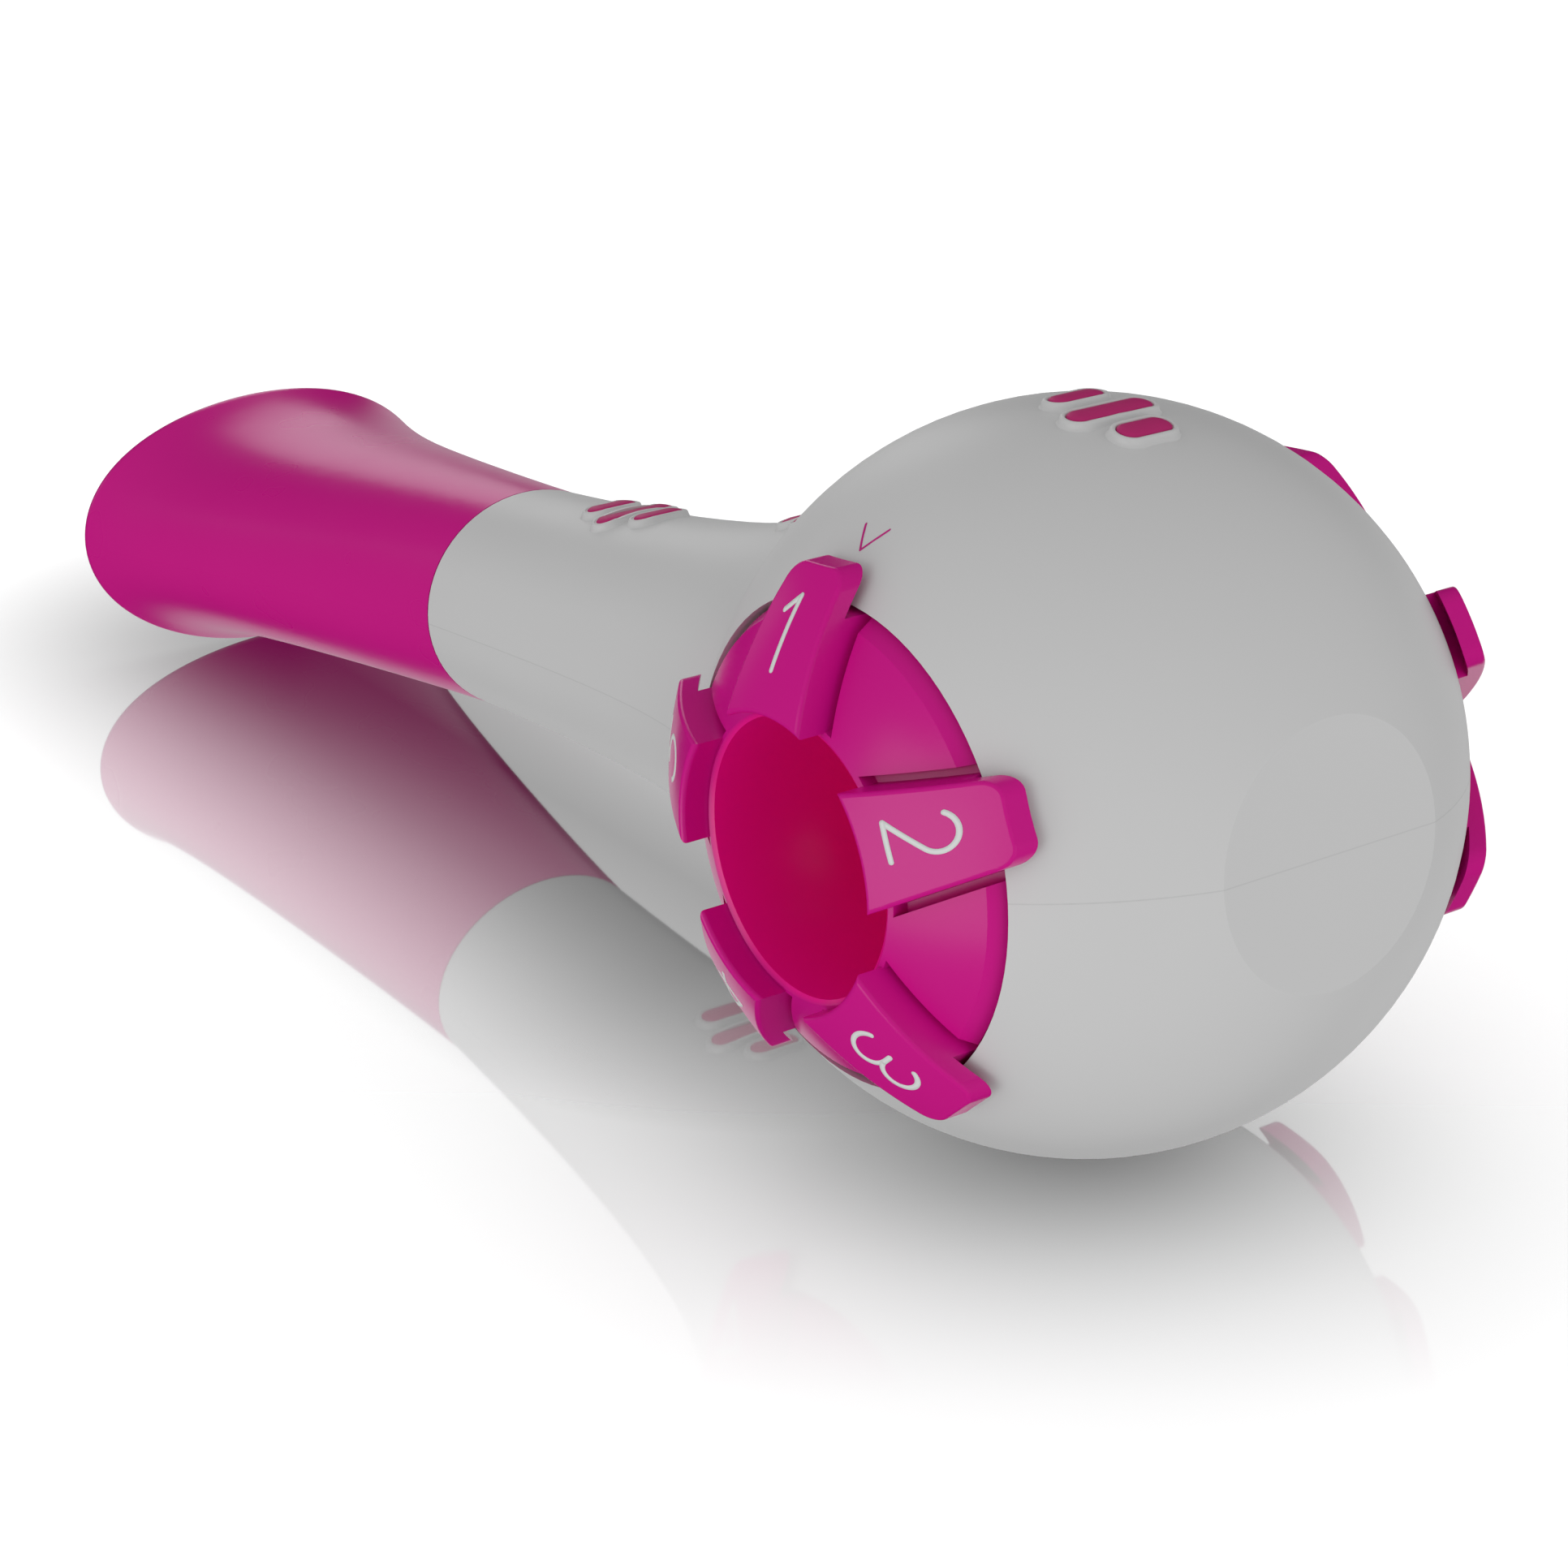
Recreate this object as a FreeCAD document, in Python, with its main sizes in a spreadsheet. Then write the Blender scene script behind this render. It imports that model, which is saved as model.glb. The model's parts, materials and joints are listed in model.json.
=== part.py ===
"""Breathing trainer: a ball-shaped head on an oval stem, with two resistance dials and a mouthpiece.

Everything is drawn about the centre of the ball: +X runs down the stem to the lip, +Y out through
the exhale dial, +Z up through the upper shell. At the end the whole trainer is tipped to the pose
in which it lies on a table, resting on the ball and on the lip.
"""
import FreeCAD, Part
import math
import os

import Sketcher
from FreeCAD import Placement, Rotation, Vector

doc = FreeCAD.newDocument("breathing_trainer")
sheet = doc.addObject("Spreadsheet::Sheet", "Sizes")

SIZES = {
    # head and nose
    "head_radius": 30.0,
    "shell_wall": 2.0,
    "nose_cut": 1.9,
    # stem, which leaves the ball on its curve and settles to an oval
    "neck_start": 19.8,
    "stem_wide": 11.1,
    "stem_high": 9.45,
    "neck_ease": 3.0,
    "stem_length": 80.6,
    # mouthpiece, from the seam to the lip
    "seam_gap": 0.15,
    "mouth_length": 54.3,
    "mouth_overrun": 3.5,
    "lip_wide": 21.0,
    "lip_high": 15.9,
    "side_flare": 1.15,
    "lip_flare": 8.0,
    "lip_bow_radius": 90.0,
    "lip_opening_wide": 18.4,
    "lip_opening_high": 8.8,
    "lip_rounding": 1.4,
    "lip_inner_rounding": 0.6,
    # spigot between stem and mouthpiece
    "spigot_inside": 14.0,
    "spigot_outside": 16.0,
    "spigot_wall": 1.4,
    "spigot_clearance": 0.1,
    "socket_clearance": 0.3,
    "socket_wall": 1.6,
    # dial
    "opening_radius": 19.2,
    "dial_gap": 0.4,
    "petal_skin": 1.2,
    "dial_skin": 1.2,
    "rim_chamfer": 0.8,
    "bore_radius": 10.9,
    "bore_chamfer": 0.4,
    "cup_wall": 1.4,
    "cup_floor_depth": 12.6,
    "cup_floor": 1.4,
    "skirt_wall": 1.2,
    "skirt_depth": 3.1,
    "click_radius": 15.7,
    "click_wall": 1.4,
    "click_depth": 3.6,
    "click_notch": 0.9,
    "paddle_rise": 2.4,
    "paddle_lift": 0.9,
    "paddle_setback": 0.7,
    "paddle_reach": 2.65,
    "paddle_inner_wide": 9.0,
    "paddle_tip_wide": 6.2,
    "paddle_corner": 1.6,
    "paddle_edge": 0.35,
    "flank_wide": 0.75,
    "flank_overlap": 0.1,
    "window_radius": 3.2,
    "port_pitch": 7.2,
    # port cup that carries a dial
    "cup_clearance": 0.3,
    "dial_play": 0.1,
    "port_tube_wall": 1.5,
    "port_floor": 1.4,
    "flange_overlap": 1.2,
    "flange_depth": 4.5,
    "flange_thick": 1.5,
    "ledge_width": 0.6,
    "ledge_thick": 1.8,
    "seat_clearance": 0.1,
    "largest_port": 2.6,
    "exhale_port_step": 0.4,
    "inhale_port_step": 0.3,
    "post_radius": 2.0,
    "post_clearance": 0.05,
    "retainer_radius": 3.7,
    "retainer_thick": 1.4,
    "retainer_fit": 0.03,
    # valve
    "cage_fit": 0.15,
    "cage_recess": 0.2,
    "cage_thick": 1.2,
    "cage_port": 2.4,
    "cage_pitch": 6.4,
    "pin_radius": 1.2,
    "pin_clearance": 0.4,
    "disc_radius": 11.0,
    "disc_thick": 0.6,
    "disc_lift": 1.3,
    # detent spring
    "spring_thick": 0.3,
    "spring_wide": 1.5,
    "spring_arc": 64.0,
    "spring_nose": 0.9,
    "spring_nose_tip": 0.3,
    "spring_clearance": 0.15,
    # grip pads
    "pad_wide": 2.1,
    "pad_middle": 7.8,
    "pad_outer": 4.8,
    "pad_pitch": 3.85,
    "pad_rise": 0.75,
    "pad_seat": 0.8,
    "pad_fit": 0.05,
    "rim_wide": 0.35,
    "rim_rise": 0.5,
    "head_pads_at": -5.0,
    "neck_pads_beyond": 11.2,
    "stem_pads_before": 18.8,
    "underside_pads_beyond": 26.5,
}

for row, (alias, value) in enumerate(SIZES.items(), start=1):
    sheet.set(f"A{row}", alias)
    sheet.set(f"B{row}", str(value))
    sheet.setAlias(f"B{row}", alias)
doc.recompute()


class Size:
    """A length that carries its number and the sheet expression that gives it."""

    def __init__(self, number, text):
        self.number = float(number)
        self.text = text

    def __add__(self, other):
        other = as_size(other)
        return Size(self.number + other.number, f"({self.text} + {other.text})")

    def __sub__(self, other):
        other = as_size(other)
        return Size(self.number - other.number, f"({self.text} - {other.text})")

    def __mul__(self, other):
        other = as_size(other)
        return Size(self.number * other.number, f"({self.text} * {other.text})")

    def __truediv__(self, other):
        other = as_size(other)
        return Size(self.number / other.number, f"({self.text} / {other.text})")

    def __neg__(self):
        return Size(-self.number, f"(0 - {self.text})")


def as_size(value):
    return value if isinstance(value, Size) else Size(value, repr(float(value)))


def root(size):
    return Size(math.sqrt(size.number), f"sqrt({size.text})")


def along_ball(ball, across):
    """How far out a ball of this radius reaches, at this distance from its axis."""
    return root(ball * ball - across * across)


s = {alias: Size(sheet.get(alias), f"Sizes.{alias}") for alias in SIZES}


def bind(obj, **properties):
    """Ties properties of an object to the sheet."""
    for name, size in properties.items():
        obj.setExpression(name.replace("__", "."), as_size(size).text)
    return obj


def new_body(name):
    body = doc.addObject("PartDesign::Body", name)
    body.Label = name
    return body


def new_sketch(body, plane, name, offset=None):
    sketch = body.newObject("Sketcher::SketchObject", name)
    support = next(item for item in body.Origin.OriginFeatures if item.Role == plane)
    sketch.AttachmentSupport = [(support, "")]
    sketch.MapMode = "FlatFace"
    if offset is not None:
        offset = as_size(offset)
        sketch.AttachmentOffset = Placement(Vector(0, 0, offset.number), Rotation())
        sketch.setExpression("AttachmentOffset.Base.z", offset.text)
    return sketch


def place_point(sketch, curve, end, x, y):
    """Holds one point of a sketch at sizes from the sheet; None leaves that way free."""
    for kind, size, axis in (("DistanceX", x, -2), ("DistanceY", y, -1)):
        if size is None:
            continue
        size = as_size(size)
        if size.number == 0:
            sketch.addConstraint(Sketcher.Constraint("PointOnObject", curve, end, axis))
            continue
        index = sketch.addConstraint(
            Sketcher.Constraint(kind, -1, 1, curve, end, size.number))
        name = f"{kind}_{index}"
        sketch.renameConstraint(index, name)
        sketch.setExpression(f"Constraints.{name}", size.text)


def draw_outline(sketch, corners):
    """Draws a closed outline. A corner is (x, y), or (x, ball, "ball") for one that lies on a
    ball about the origin; two such corners in a row are joined along that ball."""
    spots = []
    for corner in corners:
        x = as_size(corner[0])
        y = as_size(corner[1])
        if len(corner) == 3:
            spots.append((x, along_ball(y, x), y))
        else:
            spots.append((x, y, None))
    ends = []
    for here, there in zip(spots, spots[1:] + spots[:1]):
        start = Vector(here[0].number, here[1].number, 0)
        stop = Vector(there[0].number, there[1].number, 0)
        if here[2] is None or there[2] is None or here[2].text != there[2].text:
            curve = sketch.addGeometry(Part.LineSegment(start, stop))
            ends.append((curve, 1, 2, False))
            continue
        first = math.atan2(start.y, start.x)
        last = math.atan2(stop.y, stop.x)
        circle = Part.Circle(Vector(), Vector(0, 0, 1), here[2].number)
        curve = sketch.addGeometry(Part.ArcOfCircle(circle, min(first, last), max(first, last)))
        ends.append((curve, 1, 2, True) if first < last else (curve, 2, 1, True))
        sketch.addConstraint(Sketcher.Constraint("Coincident", curve, 3, -1, 1))
        index = sketch.addConstraint(Sketcher.Constraint("Radius", curve, here[2].number))
        sketch.renameConstraint(index, f"Ball_{index}")
        sketch.setExpression(f"Constraints.Ball_{index}", here[2].text)
    for place, (curve, start_end, stop_end, _) in enumerate(ends):
        following = ends[(place + 1) % len(ends)]
        sketch.addConstraint(
            Sketcher.Constraint("Coincident", curve, stop_end, following[0], following[1]))
    for place, (curve, start_end, _, is_arc) in enumerate(ends):
        on_arc = is_arc or ends[place - 1][3]
        x, y, _ = spots[place]
        place_point(sketch, curve, start_end, x, None if on_arc else y)


def draw_circle(sketch, x, y, radius):
    x, y, radius = as_size(x), as_size(y), as_size(radius)
    circle = Part.Circle(Vector(x.number, y.number, 0), Vector(0, 0, 1), radius.number)
    curve = sketch.addGeometry(circle)
    place_point(sketch, curve, 3, x, y)
    index = sketch.addConstraint(Sketcher.Constraint("Radius", curve, radius.number))
    sketch.renameConstraint(index, f"Radius_{index}")
    sketch.setExpression(f"Constraints.Radius_{index}", radius.text)


def turn(body, sketch, name, kind="PartDesign::Revolution"):
    """Revolves a sketch about its own upright axis."""
    feature = body.newObject(kind, name)
    feature.Profile = sketch
    feature.ReferenceAxis = (sketch, ["V_Axis"])
    feature.Angle = 360
    return feature


def copies_about_axis(body, sketch, feature, count, name):
    pattern = body.newObject("PartDesign::PolarPattern", name)
    pattern.Originals = [feature]
    pattern.Axis = (sketch, ["N_Axis"])
    pattern.Angle = 360
    pattern.Occurrences = count
    body.Tip = pattern
    return pattern


# Sizes that several pieces share. A dial and what is under it are drawn with the dial's axis
# upright and the ball's centre at the origin, and are laid over to their side at the end.
dial_radius = s["opening_radius"] - s["dial_gap"]
rim_at = along_ball(s["head_radius"], dial_radius)
skirt_end = rim_at - s["skirt_depth"]
click_end = rim_at - s["click_depth"]
flange_top = rim_at - s["flange_depth"]
cup_floor_at = rim_at - s["cup_floor_depth"]
paddle_start = s["bore_radius"] + s["paddle_setback"]
paddle_tip = s["opening_radius"] + s["paddle_reach"]
flank_start = paddle_start + s["flank_overlap"]
flange_radius = s["opening_radius"] + s["flange_overlap"]
ledge_inner = s["opening_radius"] - s["ledge_width"]
cup_radius = s["bore_radius"] + s["cup_wall"]
cup_underside = cup_floor_at - s["cup_floor"]
tube_inner = cup_radius + s["cup_clearance"]
tube_outer = tube_inner + s["port_tube_wall"]
port_top = cup_underside - s["dial_play"]
port_underside = port_top - s["port_floor"]
flange_underside = flange_top - s["flange_thick"]
retainer_at = cup_floor_at + s["dial_play"]
cage_top = port_underside - s["disc_lift"] - s["disc_thick"] - s["seat_clearance"] * 2
cage_at = cage_top - s["cage_thick"]
tube_end = cage_at - s["cage_recess"]
click_inner = s["click_radius"] - s["click_wall"] / 2
click_outer = s["click_radius"] + s["click_wall"] / 2
skirt_inner = dial_radius - s["skirt_wall"]
bearing_hole = s["post_radius"] + s["post_clearance"]
FIVE_SETTINGS = 5
SIX_SETTINGS = 6


def make_dial(name, settings):
    """A numbered dial: petals flush with the ball, raised paddles, and a deep cup to the ports."""
    body = new_body(name)
    ball = s["head_radius"]
    petal_floor = ball - s["petal_skin"]
    skin_floor = petal_floor - s["dial_skin"]
    top_ball = ball + s["paddle_rise"]
    under_ball = ball + s["paddle_lift"]
    beyond = paddle_tip + s["paddle_rise"]
    half_inner = s["paddle_inner_wide"] / 2
    half_tip = s["paddle_tip_wide"] / 2
    flank_inner = half_inner + s["flank_wide"]
    flank_tip = half_tip + s["flank_wide"]

    # petals, which follow the ball from the bore to the rim
    sketch = new_sketch(body, "XZ_Plane", "petal_profile")
    draw_outline(sketch, [
        (s["bore_radius"] + s["bore_chamfer"], ball, "ball"),
        (dial_radius - s["rim_chamfer"], ball, "ball"),
        (dial_radius, along_ball(ball, dial_radius) - s["rim_chamfer"]),
        (dial_radius, petal_floor, "ball"),
        (s["bore_radius"], petal_floor, "ball"),
        (s["bore_radius"], along_ball(ball, s["bore_radius"]) - s["bore_chamfer"]),
    ])
    turn(body, sketch, "petals")

    # grooves along both flanks of a paddle, open at the rim
    flank_sketch = new_sketch(body, "XY_Plane", "flank_outline")
    draw_outline(flank_sketch, [
        (-flank_inner, flank_start, "ball"),
        (flank_inner, flank_start, "ball"),
        (flank_tip, paddle_tip),
        (-flank_tip, paddle_tip),
    ])
    flanks = body.newObject("PartDesign::Pocket", "flanks")
    flanks.Profile = flank_sketch
    flanks.Reversed = True
    bind(flanks, Length=top_ball)
    copies_about_axis(body, flank_sketch, flanks, settings, "all_flanks")

    # paddles, padded high, then trimmed to a larger ball above and to the petals below
    sketch = new_sketch(body, "XY_Plane", "paddle_outline", cup_floor_at)
    draw_outline(sketch, [
        (-half_inner, paddle_start, "ball"),
        (half_inner, paddle_start, "ball"),
        (half_tip, paddle_tip),
        (-half_tip, paddle_tip),
    ])
    paddle = body.newObject("PartDesign::Pad", "paddle")
    paddle.Profile = sketch
    bind(paddle, Length=ball)
    copies_about_axis(body, flank_sketch, paddle, settings, "all_paddles")

    sketch = new_sketch(body, "XZ_Plane", "paddle_top_trim")
    draw_outline(sketch, [
        (0, top_ball * 2),
        (beyond, top_ball * 2),
        (beyond, top_ball, "ball"),
        (0, top_ball, "ball"),
    ])
    turn(body, sketch, "trim_paddle_tops", "PartDesign::Groove")

    sketch = new_sketch(body, "XZ_Plane", "underside_and_bore_trim")
    draw_outline(sketch, [
        (0, 0),
        (beyond, 0),
        (beyond, under_ball, "ball"),
        (dial_radius, under_ball, "ball"),
        (dial_radius, petal_floor, "ball"),
        (s["bore_radius"], petal_floor, "ball"),
        (s["bore_radius"], top_ball * 2),
        (0, top_ball * 2),
    ])
    turn(body, sketch, "trim_undersides_and_bore", "PartDesign::Groove")

    # skin under the petals, cup, skirt and click ring
    sketch = new_sketch(body, "XZ_Plane", "dial_profile")
    draw_outline(sketch, [
        (bearing_hole, cup_underside),
        (cup_radius, cup_underside),
        (cup_radius, skin_floor, "ball"),
        (click_inner, skin_floor, "ball"),
        (click_inner, click_end),
        (click_outer, click_end),
        (click_outer, skin_floor, "ball"),
        (skirt_inner, skin_floor, "ball"),
        (skirt_inner, skirt_end),
        (dial_radius, skirt_end),
        (dial_radius, petal_floor, "ball"),
        (s["bore_radius"], petal_floor, "ball"),
        (s["bore_radius"], cup_floor_at),
        (bearing_hole, cup_floor_at),
    ])
    turn(body, sketch, "cup_and_skirt")

    # window over one port
    sketch = new_sketch(body, "XY_Plane", "window_outline")
    draw_circle(sketch, 0, s["port_pitch"], s["window_radius"])
    window = body.newObject("PartDesign::Pocket", "window")
    window.Profile = sketch
    window.Reversed = True
    bind(window, Length=cup_floor_at + s["cup_floor"])

    # notches in the click ring, one for each setting
    ring_start = (cup_radius + click_inner) / 2
    ring_end = (click_outer + skirt_inner) / 2
    sketch = new_sketch(body, "XZ_Plane", "notch_outline", -ring_start)
    draw_circle(sketch, 0, click_end, s["click_notch"])
    notch = body.newObject("PartDesign::Pocket", "notch")
    notch.Profile = sketch
    bind(notch, Length=ring_end - ring_start)
    copies_about_axis(body, flank_sketch, notch, settings, "all_notches")
    doc.recompute()

    round_edges(body, "paddle_corners", is_paddle_tip_edge, s["paddle_corner"])
    round_edges(body, "paddle_edges", is_paddle_top_edge, s["paddle_edge"])
    return body


def round_edges(body, name, wanted, radius):
    """Rounds every edge of a body that the test picks out."""
    last = body.Tip
    edges = [f"Edge{number}" for number, edge in enumerate(last.Shape.Edges, start=1)
             if wanted(edge)]
    rounding = body.newObject("PartDesign::Fillet", name)
    rounding.Base = (last, edges)
    bind(rounding, Radius=radius)
    doc.recompute()
    return rounding


def is_paddle_tip_edge(edge):
    """True for the upright edges at the outer end of a paddle."""
    if edge.Curve.TypeId != "Part::GeomLine" or len(edge.Vertexes) != 2:
        return False
    low, high = (vertex.Point for vertex in edge.Vertexes)
    upright = math.hypot(high.x - low.x, high.y - low.y) < 1e-3
    return upright and math.hypot(low.x, low.y) > s["opening_radius"].number


def is_paddle_top_edge(edge):
    """True for the edges around the top of a paddle."""
    top = (s["head_radius"] + s["paddle_rise"]).number
    middle = edge.valueAt((edge.FirstParameter + edge.LastParameter) / 2)
    points = [vertex.Point for vertex in edge.Vertexes] + [middle]
    return all(abs(point.Length - top) < 1e-2 for point in points)


def make_port_cup(name, settings, port_step):
    """The fixed cup a dial turns in: flange, tube, floor with one port per setting, and post."""
    body = new_body(name)
    sketch = new_sketch(body, "XZ_Plane", "port_cup_profile")
    post_top = retainer_at + s["retainer_thick"]
    draw_outline(sketch, [
        (0, port_underside),
        (tube_inner, port_underside),
        (tube_inner, tube_end),
        (tube_outer, tube_end),
        (tube_outer, flange_underside),
        (flange_radius, flange_underside),
        (flange_radius, flange_top),
        (tube_inner, flange_top),
        (tube_inner, port_top),
        (s["post_radius"], port_top),
        (s["post_radius"], post_top),
        (0, post_top),
    ])
    turn(body, sketch, "tube_and_floor")

    sketch = new_sketch(body, "XY_Plane", "port_outline")
    for setting in range(settings):
        angle = math.radians(90 - setting * 360 / settings)
        radius = s["largest_port"] - port_step * setting
        draw_circle(sketch, s["port_pitch"] * round(math.cos(angle), 9),
                    s["port_pitch"] * round(math.sin(angle), 9), radius)
    ports = body.newObject("PartDesign::Pocket", "ports")
    ports.Profile = sketch
    ports.Reversed = True
    bind(ports, Length=port_top + s["port_floor"])
    return body


def make_retainer(name):
    """The cap that is pressed on the post and keeps the dial down."""
    body = new_body(name)
    sketch = new_sketch(body, "XZ_Plane", "retainer_profile")
    inner = s["post_radius"] + s["retainer_fit"]
    top = retainer_at + s["retainer_thick"]
    draw_outline(sketch, [
        (inner, retainer_at),
        (s["retainer_radius"], retainer_at),
        (s["retainer_radius"], top - s["bore_chamfer"]),
        (s["retainer_radius"] - s["bore_chamfer"], top),
        (inner, top),
    ])
    turn(body, sketch, "cap")
    return body


def make_cage(name):
    """The perforated plate under a valve disc, with the pin that guides the disc."""
    body = new_body(name)
    sketch = new_sketch(body, "XZ_Plane", "cage_profile")
    pin_top = port_underside - s["seat_clearance"]
    draw_outline(sketch, [
        (0, cage_at),
        (tube_inner - s["cage_fit"], cage_at),
        (tube_inner - s["cage_fit"], cage_top),
        (s["pin_radius"], cage_top),
        (s["pin_radius"], pin_top),
        (0, pin_top),
    ])
    turn(body, sketch, "plate_and_pin")

    sketch = new_sketch(body, "XY_Plane", "cage_port_outline")
    draw_circle(sketch, 0, s["cage_pitch"], s["cage_port"])
    port = body.newObject("PartDesign::Pocket", "cage_port")
    port.Profile = sketch
    port.Reversed = True
    bind(port, Length=cage_top + s["cage_thick"])
    copies_about_axis(body, sketch, port, SIX_SETTINGS, "cage_ports")
    return body


def make_valve_disc(name, underside):
    """A soft disc that lifts off its seat when air flows its way."""
    body = new_body(name)
    sketch = new_sketch(body, "XZ_Plane", "disc_profile")
    hole = s["pin_radius"] + s["pin_clearance"]
    draw_outline(sketch, [
        (hole, underside),
        (s["disc_radius"], underside),
        (s["disc_radius"], underside + s["disc_thick"]),
        (hole, underside + s["disc_thick"]),
    ])
    turn(body, sketch, "disc")
    return body


def make_detent_spring(name):
    """A leaf on the flange whose nose clicks along the notches of the dial."""
    body = new_body(name)
    sketch = new_sketch(body, "XZ_Plane", "leaf_profile")
    inner = s["click_radius"] - s["spring_wide"] / 2
    outer = s["click_radius"] + s["spring_wide"] / 2
    leaf_top = flange_top + s["spring_thick"]
    draw_outline(sketch, [
        (inner, flange_top),
        (outer, flange_top),
        (outer, leaf_top),
        (inner, leaf_top),
    ])
    leaf = turn(body, sketch, "leaf")
    leaf.Midplane = True
    bind(leaf, Angle=s["spring_arc"])

    sketch = new_sketch(body, "YZ_Plane", "nose_outline", inner)
    nose_top = click_end - s["spring_clearance"]
    draw_outline(sketch, [
        (-s["spring_nose"], flange_top),
        (s["spring_nose"], flange_top),
        (s["spring_nose_tip"], nose_top),
        (-s["spring_nose_tip"], nose_top),
    ])
    nose = body.newObject("PartDesign::Pad", "nose")
    nose.Profile = sketch
    bind(nose, Length=s["spring_wide"])
    return body


def oval(at, half_wide, half_high):
    """An oval across the stem: an upper and a lower arc, each half a circle stretched to fit."""
    left = Vector(0, 1, 0)
    right = Vector(0, -1, 0)
    arcs = [Part.Arc(left, Vector(0, 0, 1), right).toShape(),
            Part.Arc(right, Vector(0, 0, -1), left).toShape()]
    stretch = FreeCAD.Matrix()
    stretch.scale(1, half_wide, half_high)
    stretch.move(Vector(at, 0, 0))
    return Part.Wire(Part.Wire(arcs).transformGeometry(stretch).Edges)


def loft(name, ovals):
    """A smooth free-form solid through ovals, whose sizes come from the sheet's values."""
    solid = doc.addObject("Part::Feature", name)
    solid.Shape = Part.makeLoft(ovals, True, False, False, LOFT_DEGREE)
    return solid


def oval_tube(name, at, half_wide, half_high, length):
    """A straight oval bar along the stem."""
    solid = doc.addObject("Part::Feature", name)
    start = oval(at.number, half_wide.number, half_high.number)
    solid.Shape = Part.Face(start).extrude(Vector(length.number, 0, 0))
    return solid


def box(name, x, y, z, length, width, height):
    solid = doc.addObject("Part::Box", name)
    bind(solid, Placement__Base__x=x, Placement__Base__y=y, Placement__Base__z=z,
         Length=length, Width=width, Height=height)
    return solid


def cylinder_along_y(name, start, radius, height):
    solid = doc.addObject("Part::Cylinder", name)
    solid.Placement = Placement(Vector(), Rotation(Vector(0, 0, 1), Vector(0, 1, 0)))
    bind(solid, Placement__Base__y=start, Radius=radius, Height=height)
    return solid


def fuse(name, pieces):
    joined = doc.addObject("Part::MultiFuse", name)
    joined.Shapes = pieces
    return joined


def cut(name, base, tool):
    result = doc.addObject("Part::Cut", name)
    result.Base = base
    result.Tool = tool
    return result


def common(name, base, tool):
    result = doc.addObject("Part::Common", name)
    result.Base = base
    result.Tool = tool
    return result


LOFT_DEGREE = 3
STEM_OVALS = 12
NECK_CROWDING = 1.5
MOUTH_OVALS = 11
LIP_CROWDING = 0.7
TILT_STEPS = 8


def eased(at, far):
    """Half size of the stem at a distance from the ball's centre. It starts on the ball, in line
    with the ball's own slope, and eases down towards the far half size."""
    start = s["neck_start"].number
    on_ball = along_ball(s["head_radius"], s["neck_start"]).number
    power = s["neck_ease"].number
    drop = on_ball - far
    reach = power * drop * on_ball / start
    return far + drop / (1 + (at - start) / reach) ** power


def stem_half_sizes(at):
    return eased(at, s["stem_wide"].number), eased(at, s["stem_high"].number)


def spread(first, last, count, crowding=1.0):
    """Distances from first to last, closer together at the start when crowding is over 1, and
    at the end when it is under 1."""
    return [first + (last - first) * (step / (count - 1)) ** crowding for step in range(count)]


def stem_ovals(offset, end, end_sizes=None):
    """Ovals from the ball down the stem, each grown by the offset. With end sizes they also
    narrow steadily, so that the last oval has those sizes."""
    start = s["neck_start"].number
    last_wide, last_high = stem_half_sizes(end)
    if end_sizes is None:
        end_sizes = (last_wide + offset, last_high + offset)
    ovals = []
    for at in spread(start, end, STEM_OVALS, NECK_CROWDING):
        share = (at - start) / (end - start)
        wide, high = stem_half_sizes(at)
        ovals.append(oval(at, wide + offset + share * (end_sizes[0] - last_wide - offset),
                          high + offset + share * (end_sizes[1] - last_high - offset)))
    return ovals


def make_head(name, offset):
    """The ball up to where the stem leaves it, with its nose cut flat."""
    nose = s["head_radius"] - s["nose_cut"] + offset
    start = s["neck_start"]
    radius = along_ball(s["head_radius"], start) + offset
    ball = root(start * start + radius * radius)
    sphere = doc.addObject("Part::Sphere", f"{name}_ball")
    sphere.Placement = Placement(Vector(), Rotation(Vector(0, 0, 1), Vector(0, 1, 0)))
    bind(sphere, Radius=ball)
    side = ball * 4
    room = box(f"{name}_room", -nose, -side / 2, -side / 2, nose + start, side, side)
    return common(name, sphere, room)


def make_hull(name, offset):
    """Ball and stem together, grown by the offset on every side."""
    head = make_head(f"{name}_head", offset)
    stem = loft(f"{name}_stem", stem_ovals(offset.number, s["stem_length"].number))
    return fuse(name, [head, stem])


PAD_GROUPS = {
    "head_grip_pads": (s["head_pads_at"], 1),
    "neck_grip_pads": (s["neck_start"] + s["neck_pads_beyond"], 1),
    "stem_grip_pads": (s["stem_length"] - s["stem_pads_before"], 1),
    "underside_grip_pads": (s["neck_start"] + s["underside_pads_beyond"], -1),
}


def pad_prisms(name, group, margin):
    """Upright rounded prisms over the three pads of a group, each grown by the margin."""
    group_middle, side = PAD_GROUPS[group]
    prisms = []
    for number in (-1, 0, 1):
        long = s["pad_middle"] if number == 0 else s["pad_outer"]
        half_wide = s["pad_wide"] / 2 + margin
        half_long = long / 2 - s["pad_wide"] / 2
        at = group_middle + s["pad_pitch"] * number
        base = as_size(0) if side > 0 else -s["head_radius"] * 2
        reach = s["head_radius"] * 2
        middle = box(f"{name}_{number + 1}_middle", at - half_wide, -half_long, base,
                     half_wide * 2, half_long * 2, reach)
        ends = []
        for end, sign in (("left", 1), ("right", -1)):
            round_end = doc.addObject("Part::Cylinder", f"{name}_{number + 1}_{end}")
            bind(round_end, Placement__Base__x=at, Placement__Base__y=half_long * sign,
                 Placement__Base__z=base, Radius=half_wide, Height=reach)
            ends.append(round_end)
        prisms.append(fuse(f"{name}_{number + 1}", [middle] + ends))
    return prisms


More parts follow.
